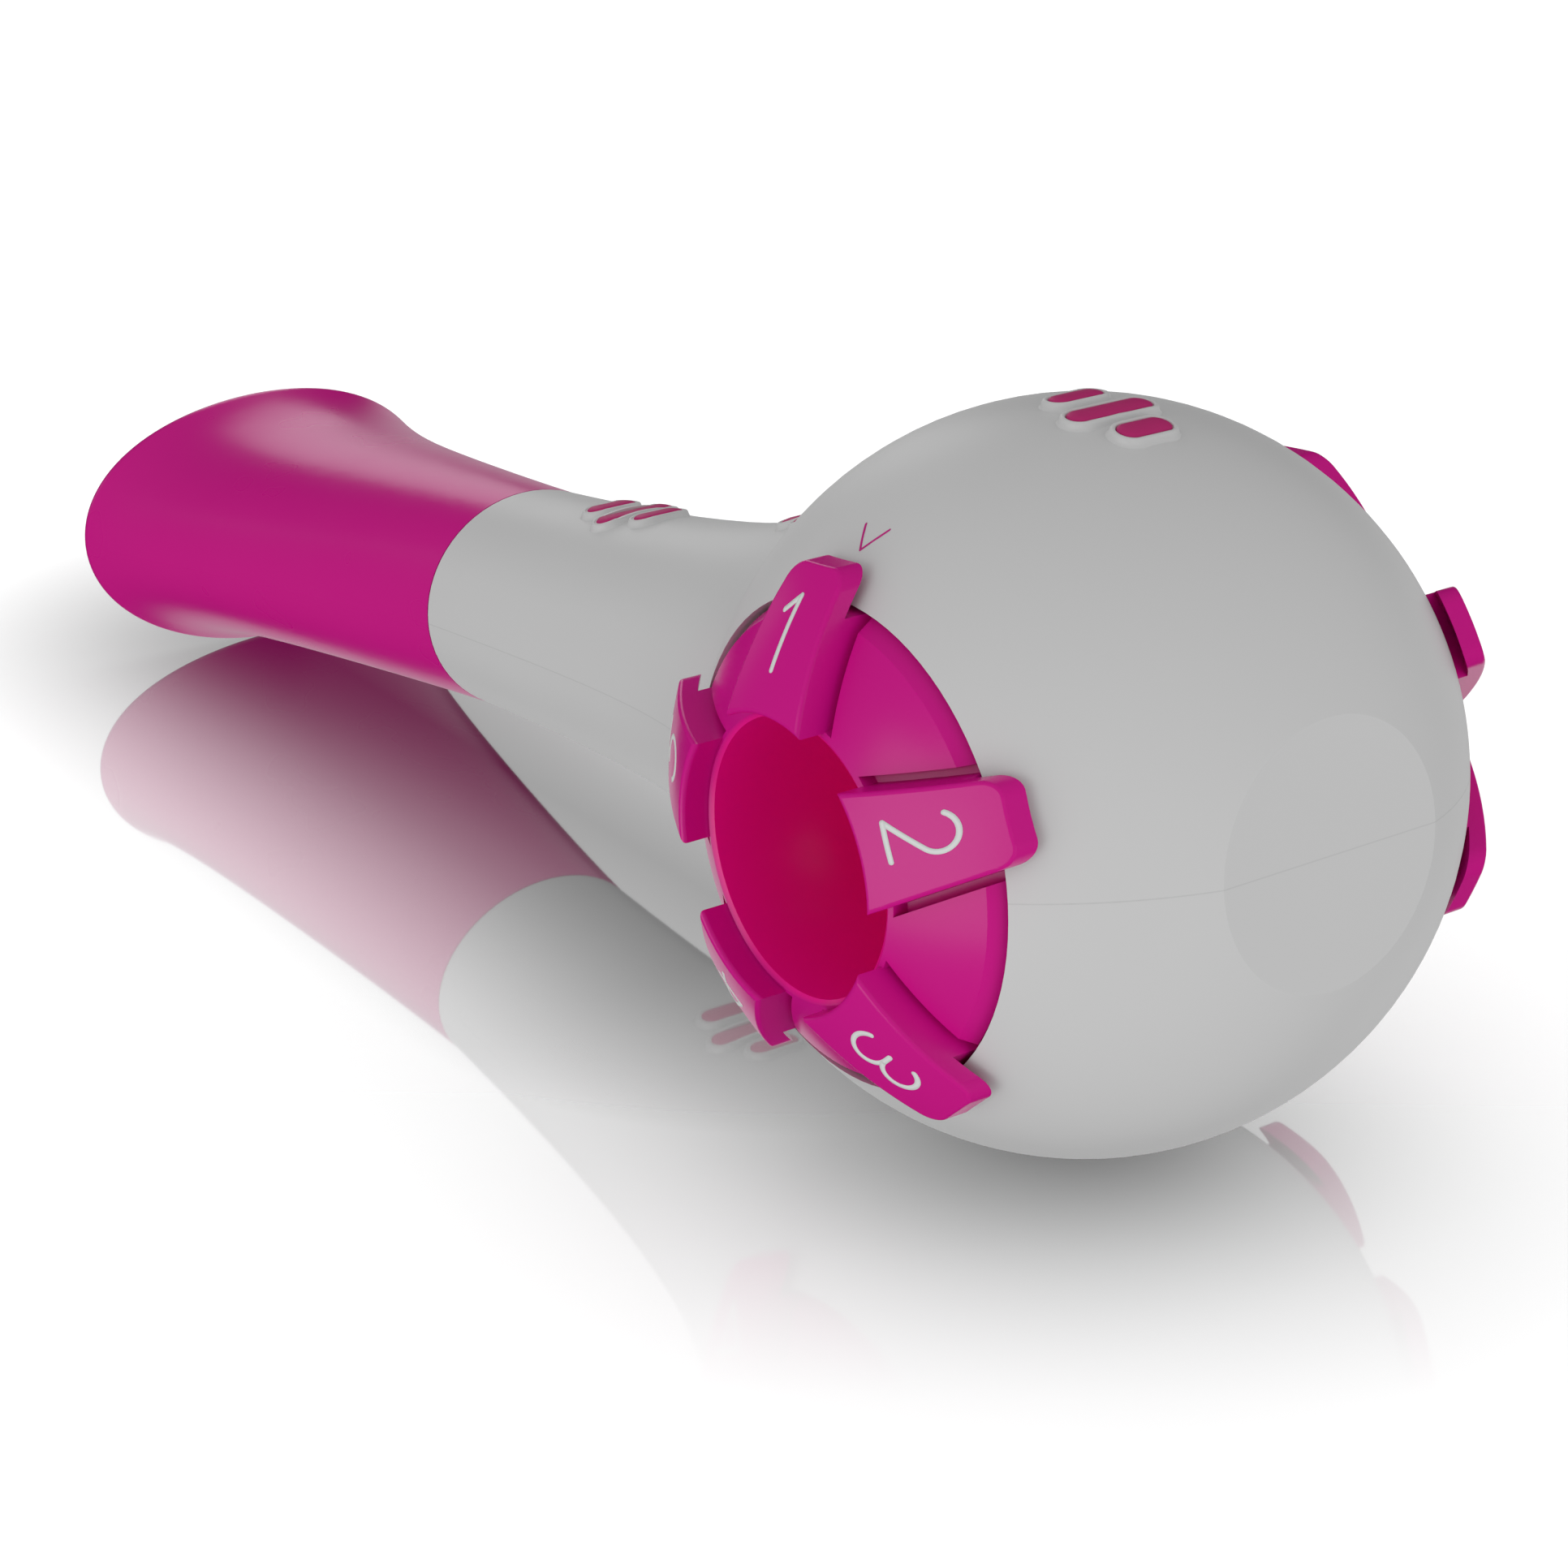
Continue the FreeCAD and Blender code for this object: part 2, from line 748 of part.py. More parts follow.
def make_shells(seat_hull):
    """The white housing, moulded in two halves that meet on the trainer's middle plane."""
    outer = make_hull("outer", as_size(0))
    rim_hull = make_hull("rim", s["rim_rise"])
    rim_margin = s["pad_fit"] + s["rim_wide"]
    rims = []
    pockets = []
    for group in PAD_GROUPS:
        rims += pad_prisms(f"{group}_rim", group, rim_margin)
        pockets += pad_prisms(f"{group}_pocket", group, s["pad_fit"])
    raised = common("raised_rims", rim_hull, fuse("rim_prisms", rims))
    sunk = cut("pad_pockets", fuse("pocket_prisms", pockets), seat_hull)

    ledge_top = flange_underside - s["seat_clearance"]
    ledge_outer = along_ball(s["head_radius"], ledge_top) - s["shell_wall"] / 2
    reach = s["head_radius"] * 2
    ledges = []
    openings = []
    for side, sign in (("exhale", 1), ("inhale", -1)):
        ledge_start = ledge_top - s["ledge_thick"] if sign > 0 else -ledge_top
        opening_start = flange_top if sign > 0 else -(flange_top + reach)
        plug = cylinder_along_y(f"{side}_ledge_plug", ledge_start, ledge_outer, s["ledge_thick"])
        hole = cylinder_along_y(f"{side}_ledge_hole", ledge_start, ledge_inner,
                                s["ledge_thick"])
        ledges.append(cut(f"{side}_ledge", plug, hole))
        openings.append(
            cylinder_along_y(f"{side}_opening", opening_start, s["opening_radius"], reach))

    skin = cut("skin", fuse("skin_with_rims", [outer, raised]), make_cavity())
    framed = fuse("skin_with_ledges", [skin] + ledges)
    whole = cut("whole_housing", framed, fuse("cut_outs", openings + [sunk]))
    halves = []
    for name, base in (("upper_shell", as_size(0)), ("lower_shell", -reach)):
        room = box(f"{name}_room", -reach, -reach, base, reach * 3, reach * 2, reach)
        half = common(name, whole, room)
        half.Label = name
        halves.append(half)
    return halves


def make_cavity():
    """The air space inside the housing. It narrows to the spigot's bore, so that the spigot sits
    against a shoulder at the bottom of its straight socket."""
    grown = -s["shell_wall"]
    socket_at = s["stem_length"] - s["spigot_inside"]
    bore = (spigot_bore_wide.number, spigot_bore_high.number)
    stem = loft("cavity_stem", stem_ovals(grown.number, socket_at.number, bore))
    socket = oval_tube("spigot_socket", socket_at, socket_wide, socket_high,
                       s["spigot_inside"] * 2)
    return fuse("cavity", [make_head("cavity_head", grown), stem, socket])


def make_pads(seat_hull):
    """The soft inlays, each seated in its pocket and standing a little over its rim."""
    pad_hull = make_hull("pad", s["pad_rise"])
    pads = []
    for group in PAD_GROUPS:
        prisms = fuse(f"{group}_prisms", pad_prisms(group, group, as_size(0)))
        block = common(f"{group}_block", pad_hull, prisms)
        pad = cut(group, block, seat_hull)
        pad.Label = group
        pads.append(pad)
    return pads


def make_spigot():
    """The oval tube that joins the stem to the mouthpiece."""
    start = s["stem_length"] - s["spigot_inside"]
    length = s["spigot_inside"] + s["spigot_outside"]
    tube = oval_tube("spigot_outside", start, spigot_wide, spigot_high, length)
    hole = oval_tube("spigot_bore", start, spigot_bore_wide, spigot_bore_high, length)
    spigot = cut("stem_spigot", tube, hole)
    spigot.Label = "stem_spigot"
    return spigot


def mouth_half_sizes(share):
    """Half sizes of the mouthpiece at a share of its length: the sides widen steadily, while
    top and bottom stay level until they flare into the lip."""
    seam_wide, seam_high = stem_half_sizes(s["stem_length"].number)
    wide = seam_wide + (s["lip_wide"].number - seam_wide) * share ** s["side_flare"].number
    high = seam_high + (s["lip_high"].number - seam_high) * share ** s["lip_flare"].number
    return wide, high


def make_mouthpiece():
    """The flared oval mouthpiece, with a lip that bows to fit behind the lips."""
    seam = s["stem_length"].number
    total = s["mouth_length"].number + s["mouth_overrun"].number
    outer = []
    for at in spread(s["seam_gap"].number, total, MOUTH_OVALS, LIP_CROWDING):
        outer.append(oval(seam + at, *mouth_half_sizes(at / total)))
    inner = []
    first = s["spigot_outside"].number
    start_wide = spigot_bore_wide.number
    start_high = spigot_bore_high.number
    for at in spread(first, total, MOUTH_OVALS):
        along = (at - first) / (total - first)
        wide = start_wide + (s["lip_opening_wide"].number - start_wide) * along
        high = start_high + (s["lip_opening_high"].number - start_high) * along
        inner.append(oval(seam + at, wide, high))
    socket = oval_tube("mouth_socket", s["stem_length"], spigot_wide + s["socket_clearance"],
                       spigot_high + s["socket_clearance"],
                       s["spigot_outside"] + s["socket_clearance"])
    hollow = fuse("mouth_hollow", [loft("mouth_airway", inner), socket])
    tube = cut("mouth_tube", loft("mouth_outer", outer), hollow)

    lip = s["stem_length"] + s["mouth_length"]
    bow = doc.addObject("Part::Cylinder", "lip_bow")
    bind(bow, Placement__Base__x=lip + s["lip_bow_radius"],
         Placement__Base__z=-s["head_radius"], Radius=s["lip_bow_radius"],
         Height=s["head_radius"] * 2)
    bowed = cut("bowed_mouthpiece", tube, bow)
    doc.recompute()

    rounded = doc.addObject("Part::Fillet", "mouthpiece")
    rounded.Label = "mouthpiece"
    rounded.Base = bowed
    edges = []
    for number, edge in enumerate(bowed.Shape.Edges, start=1):
        if edge.BoundBox.XMin < lip.number - s["lip_rounding"].number:
            continue
        inside = edge.BoundBox.YMax < (s["lip_wide"] + s["lip_opening_wide"]).number / 2
        radius = s["lip_inner_rounding" if inside else "lip_rounding"].number
        edges.append((number, radius, radius))
    rounded.Edges = edges
    return rounded


seam_wide, seam_high = stem_half_sizes(s["stem_length"].number)
socket_wide = as_size(seam_wide) - s["socket_wall"]
socket_high = as_size(seam_high) - s["socket_wall"]
spigot_wide = socket_wide - s["spigot_clearance"]
spigot_high = socket_high - s["spigot_clearance"]
spigot_bore_wide = spigot_wide - s["spigot_wall"]
spigot_bore_high = spigot_high - s["spigot_wall"]

# Turns a dial's own upright axis outwards: +Y on the exhale side, -Y on the inhale side, with
# the paddle of the first setting towards the upper shell on both.
EXHALE_SIDE = Rotation(Vector(-1, 0, 0), Vector(0, 0, 1), Vector(0, 1, 0), "XYZ")
INHALE_SIDE = Rotation(Vector(1, 0, 0), Vector(0, 0, 1), Vector(0, -1, 0), "XYZ")


def make_side(side, settings, port_step, disc_at):
    """All that turns, seals and holds on one side of the ball."""
    return [
        make_dial(f"{side}_dial", settings),
        make_port_cup(f"{side}_port_cup", settings, port_step),
        make_retainer(f"{side}_dial_retainer"),
        make_detent_spring(f"{side}_detent_spring"),
        make_cage(f"{side}_valve_cage"),
        make_valve_disc(f"{side}_valve_disc", disc_at),
    ]


def check_everything(pieces):
    """Stops the build if any feature failed or any piece isn't a sound solid."""
    failed = [f"{obj.Label} {obj.State}" for obj in doc.Objects
              if "Invalid" in obj.State or "Error" in obj.State]
    failed += [f"{piece.Label} is not a valid solid" for piece in pieces
               if piece.Shape.isNull() or not piece.Shape.isValid() or not piece.Shape.Solids]
    if failed:
        raise RuntimeError("; ".join(failed))


def lay_down(pieces):
    """Tips the trainer until ball and lip both touch the table, and centres it there."""
    middle = Vector(0, 0, 0)
    tilt = 0.0
    mouth = doc.getObject("mouthpiece")
    upright = mouth.Shape.copy()
    reach = (s["stem_length"] + s["mouth_length"]).number
    for _ in range(TILT_STEPS):
        turned = upright.copy()
        turned.rotate(middle, Vector(0, 1, 0), tilt)
        lowest = turned.optimalBoundingBox(False).ZMin
        tilt += math.degrees((lowest + s["head_radius"].number) / reach)
    turn_down = Placement(Vector(), Rotation(Vector(0, 1, 0), tilt))
    for piece in pieces:
        piece.Placement = turn_down * piece.Placement
    doc.recompute()
    around = Part.Compound([piece.Shape for piece in pieces]).optimalBoundingBox(False)
    shift = Placement(Vector(-around.Center.x, -around.Center.y, s["head_radius"].number),
                      Rotation())
    for piece in pieces:
        piece.Placement = shift * piece.Placement
    doc.recompute()
    print(f"rest tilt {tilt:.3f} degrees, ball centre at x {shift.Base.x:.3f}")


exhale_pieces = make_side("exhale", FIVE_SETTINGS, s["exhale_port_step"],
                          cage_top + s["seat_clearance"])
inhale_pieces = make_side("inhale", SIX_SETTINGS, s["inhale_port_step"],
                          port_underside - s["disc_thick"] - s["seat_clearance"])
for side_pieces, rotation in ((exhale_pieces, EXHALE_SIDE), (inhale_pieces, INHALE_SIDE)):
    for piece in side_pieces:
        piece.Placement = Placement(Vector(), rotation)
pad_seats = make_hull("seat", -s["pad_seat"])
all_pieces = make_shells(pad_seats) + [make_spigot(), make_mouthpiece()] + make_pads(pad_seats)
all_pieces += exhale_pieces + inhale_pieces
doc.recompute()
check_everything(all_pieces)
lay_down(all_pieces)
check_everything(all_pieces)
os.makedirs("parts", exist_ok=True)
for piece in all_pieces:
    piece.Shape.exportStep(f"parts/{piece.Label}.step")
    print(f"{piece.Label}: {len(piece.Shape.Solids)} solid(s), {piece.Shape.Volume / 1000:.2f} cm3")
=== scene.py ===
"""The looks of the breathing trainer: finishes, grip pads, printed digits, floor, light and camera."""

import json
import math

import bmesh
import bpy
from mathutils import Matrix, Vector


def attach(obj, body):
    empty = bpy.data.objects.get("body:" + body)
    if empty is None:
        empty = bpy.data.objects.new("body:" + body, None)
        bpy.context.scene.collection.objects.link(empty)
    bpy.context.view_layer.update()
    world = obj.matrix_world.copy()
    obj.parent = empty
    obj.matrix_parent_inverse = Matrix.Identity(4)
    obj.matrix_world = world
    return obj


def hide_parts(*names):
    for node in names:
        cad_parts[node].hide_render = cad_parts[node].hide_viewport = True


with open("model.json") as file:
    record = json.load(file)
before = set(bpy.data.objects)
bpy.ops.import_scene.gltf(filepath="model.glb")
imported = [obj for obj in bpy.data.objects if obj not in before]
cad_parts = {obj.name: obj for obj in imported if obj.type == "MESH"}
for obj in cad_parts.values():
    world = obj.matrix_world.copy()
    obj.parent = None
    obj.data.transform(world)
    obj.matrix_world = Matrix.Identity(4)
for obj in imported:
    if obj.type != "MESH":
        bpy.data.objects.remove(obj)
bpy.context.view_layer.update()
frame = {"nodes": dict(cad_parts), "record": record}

MM = 0.001

# The trainer's own axes at rest, read from its mounts: X runs from the ball down the stem to the
# lip, Y out through the exhale dial, Z up through the upper shell.
mounts = {mount["name"]: mount for mount in frame["record"]["mounts"]}
port = mounts["exhale_port"]["pos_m"]
BALL = Vector((port[0], 0, port[2]))
ACROSS = Vector((0, 1, 0))
ALONG = -Vector(mounts["nose_flat"]["axis"]).normalized()
UPWARD = ALONG.cross(ACROSS)

# Sizes of the solids, in millimetres
HEAD_RADIUS = 30.0
PADDLE_TOP_RADIUS = 32.4
NECK_START = 19.8
STEM_WIDE = 11.1
STEM_HIGH = 9.45
NECK_EASE = 3.0
BORE_RADIUS = 10.9
SETTINGS = {"exhale": 5, "inhale": 6}

# Grip pads: middle of each group along the trainer, and which way the group faces
PAD_GROUPS = {
    "head_grip_pads": (-5.0, 1),
    "neck_grip_pads": (31.0, 1),
    "stem_grip_pads": (61.8, 1),
    "underside_grip_pads": (46.3, -1),
}
PAD_PITCH = 3.85
PAD_WIDE = 2.1
PAD_LONG = {-1: 4.8, 0: 7.8, 1: 4.8}


def at(x, y, z):
    """A point in the trainer's own axes and millimetres, in the frame."""
    return BALL + (ALONG * x + ACROSS * y + UPWARD * z) * MM


# Materials


def new_material(name):
    material = bpy.data.materials.new(name)
    material.use_nodes = True
    tree = material.node_tree
    shader = tree.nodes["Principled BSDF"]
    return material, tree, shader


def noise(tree, scale, detail=2.0):
    """Noise over the object's own coordinates; scale is in features per metre."""
    place = tree.nodes.new("ShaderNodeTexCoord")
    texture = tree.nodes.new("ShaderNodeTexNoise")
    texture.inputs["Scale"].default_value = scale
    texture.inputs["Detail"].default_value = detail
    tree.links.new(place.outputs["Object"], texture.inputs["Vector"])
    return texture.outputs["Fac"]


def spread_value(tree, source, low, high):
    """Maps a noise value to the range from low to high."""
    ramp = tree.nodes.new("ShaderNodeMapRange")
    ramp.inputs["To Min"].default_value = low
    ramp.inputs["To Max"].default_value = high
    tree.links.new(source, ramp.inputs["Value"])
    return ramp.outputs["Result"]


def mottled_colour(tree, shader, colour, variation, scale):
    """The base colour, a little lighter and darker in soft patches."""
    mix = tree.nodes.new("ShaderNodeMix")
    mix.data_type = "RGBA"
    mix.inputs["A"].default_value = [c * (1 - variation) for c in colour] + [1]
    mix.inputs["B"].default_value = [min(1, c * (1 + variation)) for c in colour] + [1]
    tree.links.new(noise(tree, scale), mix.inputs["Factor"])
    tree.links.new(mix.outputs["Result"], shader.inputs["Base Color"])
    return mix


def add_bump(tree, shader, height, strength, distance):
    bump = tree.nodes.new("ShaderNodeBump")
    bump.inputs["Strength"].default_value = strength
    bump.inputs["Distance"].default_value = distance
    tree.links.new(height, bump.inputs["Height"])
    tree.links.new(bump.outputs["Normal"], shader.inputs["Normal"])
    return bump


def moulded_plastic(name, colour, roughness, specular=0.5):
    """Injection-moulded plastic: near even colour, a breath of orange peel and uneven gloss."""
    material, tree, shader = new_material(name)
    mottled_colour(tree, shader, colour, 0.012, 60)
    gloss = spread_value(tree, noise(tree, 90), roughness * 0.9, roughness * 1.1)
    tree.links.new(gloss, shader.inputs["Roughness"])
    shader.inputs["Specular IOR Level"].default_value = specular
    add_bump(tree, shader, noise(tree, 350, 1.0), 0.06, 0.02 * MM)
    return material


# The bore's painted shade begins this far outside its wall and is full just before it.
BORE_SHADE_BLEND = 0.5
BORE_SHADE_FULL = 0.05


def dial_plastic(name, colour, bore_shade_colour, roughness):
    """The dials' plastic, with a painted shade that deepens it to crimson down the bore, in place of the
    redder light bounced inside the recess.
    """
    material = moulded_plastic(name, colour, roughness)
    tree = material.node_tree
    shader = tree.nodes["Principled BSDF"]
    skin = shader.inputs["Base Color"].links[0].from_socket
    place = tree.nodes.new("ShaderNodeTexCoord")
    from_ball = tree.nodes.new("ShaderNodeVectorMath")
    from_ball.operation = "SUBTRACT"
    from_ball.inputs[1].default_value = BALL
    tree.links.new(place.outputs["Object"], from_ball.inputs[0])
    flat = tree.nodes.new("ShaderNodeVectorMath")
    flat.operation = "MULTIPLY"
    flat.inputs[1].default_value = (1, 0, 1)
    tree.links.new(from_ball.outputs["Vector"], flat.inputs[0])
    radius = tree.nodes.new("ShaderNodeVectorMath")
    radius.operation = "LENGTH"
    tree.links.new(flat.outputs["Vector"], radius.inputs[0])
    # Painted shade: inside the bore's radius the colour turns crimson, standing in for the light bounced
    # in the recess.
    inside = tree.nodes.new("ShaderNodeMapRange")
    inside.interpolation_type = "SMOOTHSTEP"
    inside.inputs["From Min"].default_value = (BORE_RADIUS + BORE_SHADE_BLEND) * MM
    inside.inputs["From Max"].default_value = (BORE_RADIUS + BORE_SHADE_FULL) * MM
    tree.links.new(radius.outputs["Value"], inside.inputs["Value"])
    mix = tree.nodes.new("ShaderNodeMix")
    mix.data_type = "RGBA"
    mix.inputs["B"].default_value = (*bore_shade_colour, 1)
    tree.links.new(inside.outputs["Result"], mix.inputs["Factor"])
    tree.links.new(skin, mix.inputs["A"])
    tree.links.new(mix.outputs["Result"], shader.inputs["Base Color"])
    return material


SEAM_SHADE = (0.60, 0.60, 0.60, 1)
SEAM_CORE = 0.02
SEAM_EDGE = 0.08


def shell_plastic():
    """The white housing, with the hairline where its two halves meet."""
    material, tree, shader = new_material("white_shell")
    mix = mottled_colour(tree, shader, (0.67, 0.67, 0.67), 0.008, 45)
    gloss = spread_value(tree, noise(tree, 90), 0.38, 0.44)
    tree.links.new(gloss, shader.inputs["Roughness"])
    shader.inputs["Specular IOR Level"].default_value = 0.5

    place = tree.nodes.new("ShaderNodeTexCoord")
    height = tree.nodes.new("ShaderNodeVectorMath")
    height.operation = "DOT_PRODUCT"
    height.inputs[1].default_value = UPWARD
    tree.links.new(place.outputs["Object"], height.inputs[0])
    offset = tree.nodes.new("ShaderNodeMath")
    offset.operation = "SUBTRACT"
    offset.inputs[1].default_value = BALL.dot(UPWARD)
    tree.links.new(height.outputs["Value"], offset.inputs[0])
    distance = tree.nodes.new("ShaderNodeMath")
    distance.operation = "ABSOLUTE"
    tree.links.new(offset.outputs["Value"], distance.inputs[0])
    line = tree.nodes.new("ShaderNodeMapRange")
    line.inputs["From Min"].default_value = SEAM_CORE * MM
    line.inputs["From Max"].default_value = SEAM_EDGE * MM
    line.inputs["To Min"].default_value = 1
    line.inputs["To Max"].default_value = 0
    tree.links.new(distance.outputs["Value"], line.inputs["Value"])
    darken = tree.nodes.new("ShaderNodeMix")
    darken.data_type = "RGBA"
    darken.inputs["B"].default_value = SEAM_SHADE
    tree.links.new(line.outputs["Result"], darken.inputs["Factor"])
    tree.links.new(mix.outputs["Result"], darken.inputs["A"])
    tree.links.new(darken.outputs["Result"], shader.inputs["Base Color"])
    add_bump(tree, shader, noise(tree, 500, 2.0), 0.08, 0.02 * MM)
    return material


def soft_rubber(name, colour):
    material, tree, shader = new_material(name)
    mottled_colour(tree, shader, colour, 0.03, 200)
    gloss = spread_value(tree, noise(tree, 500), 0.42, 0.56)
    tree.links.new(gloss, shader.inputs["Roughness"])
    shader.inputs["Specular IOR Level"].default_value = 0.4
    add_bump(tree, shader, noise(tree, 4000, 2.0), 0.2, 0.02 * MM)
    return material


def rolled_steel():
    material, tree, shader = new_material("spring_steel")
    mottled_colour(tree, shader, (0.55, 0.55, 0.56), 0.06, 400)
    gloss = spread_value(tree, noise(tree, 1500), 0.22, 0.38)
    tree.links.new(gloss, shader.inputs["Roughness"])
    shader.inputs["Metallic"].default_value = 1.0
    return material


def silicone():
    material, tree, shader = new_material("silicone")
    mottled_colour(tree, shader, (0.72, 0.72, 0.70), 0.02, 300)
    gloss = spread_value(tree, noise(tree, 600), 0.4, 0.55)
    tree.links.new(gloss, shader.inputs["Roughness"])
    shader.inputs["Subsurface Weight"].default_value = 0.2
    shader.inputs["Subsurface Radius"].default_value = (0.001, 0.001, 0.001)
    return material


def printed_ink(name, colour):
    """Pad-printed ink: flat, with the faint unevenness of a thin film."""
    material, tree, shader = new_material(name)
    mottled_colour(tree, shader, colour, 0.03, 900)
    gloss = spread_value(tree, noise(tree, 2500), 0.4, 0.55)
    tree.links.new(gloss, shader.inputs["Roughness"])
    shader.inputs["Specular IOR Level"].default_value = 0.3
    return material


MAGENTA = (0.67, 0.0030, 0.265)
# Crimson: the dial cap's colour, and also the painted shade down the dials' bores.
CRIMSON_AND_BORE_SHADE = (0.88, 0.003, 0.28)
WHITE_SHELL = shell_plastic()
DIAL = dial_plastic("dial_magenta", MAGENTA, CRIMSON_AND_BORE_SHADE, 0.24)
DIAL_CAP = moulded_plastic("dial_cap", CRIMSON_AND_BORE_SHADE, 0.28)
MOUTHPIECE = moulded_plastic("mouthpiece_magenta", MAGENTA, 0.28)
INNER = moulded_plastic("inner_plastic", (0.70, 0.70, 0.70), 0.45)
GRIP = soft_rubber("grip", (0.56, 0.012, 0.17))
STEEL = rolled_steel()
SILICONE = silicone()
WHITE_INK = printed_ink("white_ink", (0.78, 0.81, 0.79))
MAGENTA_INK = printed_ink("magenta_ink", (0.62, 0.006, 0.25))


def dress(node, material):
    materials = frame["nodes"][node].data.materials
    materials.clear()
    materials.append(material)


dress("upper_shell", WHITE_SHELL)
dress("lower_shell", WHITE_SHELL)
dress("stem_spigot", INNER)
dress("mouthpiece", MOUTHPIECE)
for group in PAD_GROUPS:
    dress(group, GRIP)
for side in SETTINGS:
    dress(f"{side}_dial", DIAL)
    dress(f"{side}_port_cup", INNER)
    dress(f"{side}_dial_retainer", DIAL_CAP)
    dress(f"{side}_detent_spring", STEEL)
    dress(f"{side}_valve_cage", INNER)
    dress(f"{side}_valve_disc", SILICONE)


def new_piece(name, mesh, material, body):
    """A finished mesh as an object that rides on a body."""
    bmesh.ops.recalc_face_normals(mesh, faces=mesh.faces)
    data = bpy.data.meshes.new(name)
    mesh.to_mesh(data)
    mesh.free()
    piece = bpy.data.objects.new(name, data)
    bpy.context.scene.collection.objects.link(piece)
    data.materials.append(material)
    data.shade_smooth()
    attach(piece, body)
    return piece


# Printed marks: strokes of one width with round ends, laid on a curved surface

STROKE_HALF = 0.20
CHEVRON_HALF = 0.07
INK_THICK = 0.03
INK_SUNK = 0.05
STEP = 0.2
CAP_STEPS = 8

# Each further stroke of a mark lies this much higher, so that crossing strokes never share a face.
STROKE_LIFT = 0.004


def line(start, end):
    start, end = Vector(start), Vector(end)
    count = max(2, int((end - start).length / STEP))
    return [start.lerp(end, step / count) for step in range(count + 1)]


def arc(centre, radii, start, end):
    """Points on an ellipse from one angle to another, in degrees."""
    centre = Vector(centre)
    count = max(3, int(math.radians(abs(end - start)) * max(radii) / STEP))
    points = []
    for step in range(count + 1):
        angle = math.radians(start + (end - start) * step / count)
        points.append(centre + Vector((radii[0] * math.cos(angle), radii[1] * math.sin(angle))))
    return points


def ribbon(mesh, path, half_wide, lift, on_surface):
    """One stroke with round ends, as a thin closed strip over the surface."""
    outline = []
    for side in (1, -1):
        for index in range(len(path)):
            before = path[max(index - 1, 0)]
            after = path[min(index + 1, len(path) - 1)]
            along = (after - before).normalized()
            outline.append(path[index] + Vector((-along.y, along.x)) * half_wide * side)
    left = outline[:len(path)]
    right = outline[len(path):]

    def cap(centre, first, turn):
        arm = first - centre
        points = []
        for step in range(1, CAP_STEPS):
            angle = math.pi * step / CAP_STEPS * turn
            points.append(centre + Vector((arm.x * math.cos(angle) - arm.y * math.sin(angle),
                                           arm.x * math.sin(angle) + arm.y * math.cos(angle))))
        return points

    end_cap = cap(path[-1], left[-1], -1)
    start_cap = cap(path[0], right[0], -1)
    loop = left + end_cap + right[::-1] + start_cap
    levels = []
    for height in (INK_THICK + lift, -INK_SUNK):
        levels.append([mesh.verts.new(on_surface(point.x, point.y, height)) for point in loop])
    count = len(path)
    caps = CAP_STEPS - 1
    for level in levels:
        for index in range(count - 1):
            mesh.faces.new((level[index], level[index + 1],
                            level[2 * count + caps - 2 - index], level[2 * count + caps - 1 - index]))
        mesh.faces.new(level[count - 1:count + caps + 1])
        mesh.faces.new(level[2 * count + caps - 1:] + [level[0]])
    for index in range(len(loop)):
        following = (index + 1) % len(loop)
        mesh.faces.new((levels[0][index], levels[0][following],
                        levels[1][following], levels[1][index]))


# Each digit is centred, about 5 mm high, and reads from the middle of the dial outwards.
DIGITS = {
    1: [line((-1.24, 2.02), (-0.08, 3.09)), line((-0.08, 3.09), (-0.08, -1.9))],
    2: [arc((-0.42, 0.93), (1.42, 1.42), 150, -42) + line((0.635, -0.02), (-1.84, -2.6))[1:],
        line((-1.84, -2.6), (1.06, -2.6))],
    3: [arc((-0.05, -1.45), (1.5, 1.27), -150, 88), arc((0, 1.07), (1.36, 1.24), -88, 155),
        line((0.1, -0.17), (-0.85, -0.17))],
    4: [line((0.6, -2.6), (0.6, 2.3)), line((0.6, 2.3), (-1.7, -1.2)),
        line((-1.7, -1.2), (1.6, -1.2))],
    5: [line((1.2, 2.3), (-0.9, 2.3)), line((-0.9, 2.3), (-1.05, 0.25)),
        arc((-0.05, -1.05), (1.6, 1.6), 129, -145)],
    6: [arc((0, -1.15), (1.5, 1.45), 0, 360), arc((1.9, -1.15), (3.4, 3.5), 180, 112)],
}
DIGIT_AT = 16.75


def dial_surface(side, turned, out, ball):
    """Places a flat mark on a dial: its middle lies this far out along the paddle that is turned
    clockwise from the top, on a ball of this radius."""
    right = -ALONG if side == "exhale" else ALONG
    outward = ACROSS if side == "exhale" else -ACROSS
    angle = math.radians(turned)
    mark_up = UPWARD * math.cos(angle) + right * math.sin(angle)
    mark_right = right * math.cos(angle) - UPWARD * math.sin(angle)

    def on_surface(x, y, height):
        reach = math.sqrt(ball ** 2 - x ** 2 - (out + y) ** 2)
        point = mark_right * x + mark_up * (out + y) + outward * reach
        return BALL + point * MM * (1 + height / ball)

    return on_surface


for side, count in SETTINGS.items():
    for digit in range(1, count + 1):
        mesh = bmesh.new()
        place = dial_surface(side, 360 / count * (digit - 1), DIGIT_AT, PADDLE_TOP_RADIUS)
        for number, path in enumerate(DIGITS[digit]):
            ribbon(mesh, path, STROKE_HALF, number * STROKE_LIFT, place)
        new_piece(f"{side}_digit_{digit}", mesh, WHITE_INK, f"{side}_dial")

